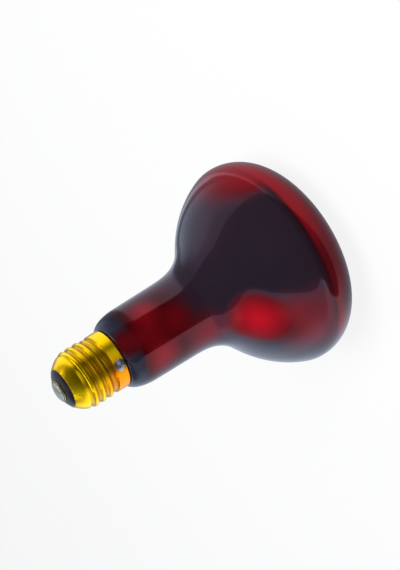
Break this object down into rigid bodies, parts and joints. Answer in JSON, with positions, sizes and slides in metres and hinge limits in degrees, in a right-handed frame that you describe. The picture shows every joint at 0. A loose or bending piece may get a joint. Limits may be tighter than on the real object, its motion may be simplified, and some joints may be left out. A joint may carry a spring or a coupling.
{
  "type": "infrared heat lamp bulb",
  "caption": "Infrared heat lamp bulb of dark red glass with a domed face, flared back and neck, on a brass screw cap with a black insulator and a raised centre contact.",
  "frame": {"origin": "lowest point of the domed face, on the bulb's axis", "axes": "+Z along the bulb's axis, from the face to the centre contact of the cap"},
  "size_m": [0.095, 0.095, 0.134],
  "materials": {
    "ruby_glass": "gloss",
    "cap_brass": "satin",
    "black_glass": "gloss",
    "contact_metal": "satin",
    "solder": "satin",
    "cement": "matte",
    "lead_wire": "satin"
  },
  "bodies": {
    "root": {"glass_bulb": "ruby_glass", "screw_shell": "cap_brass", "cap_insulator": "black_glass", "contact_plate": "contact_metal", "centre_solder": "solder", "side_solder": "solder", "basing_cement": "cement", "centre_lead_wire": "lead_wire", "side_lead_wire": "lead_wire"}
  },
  "joints": []
}
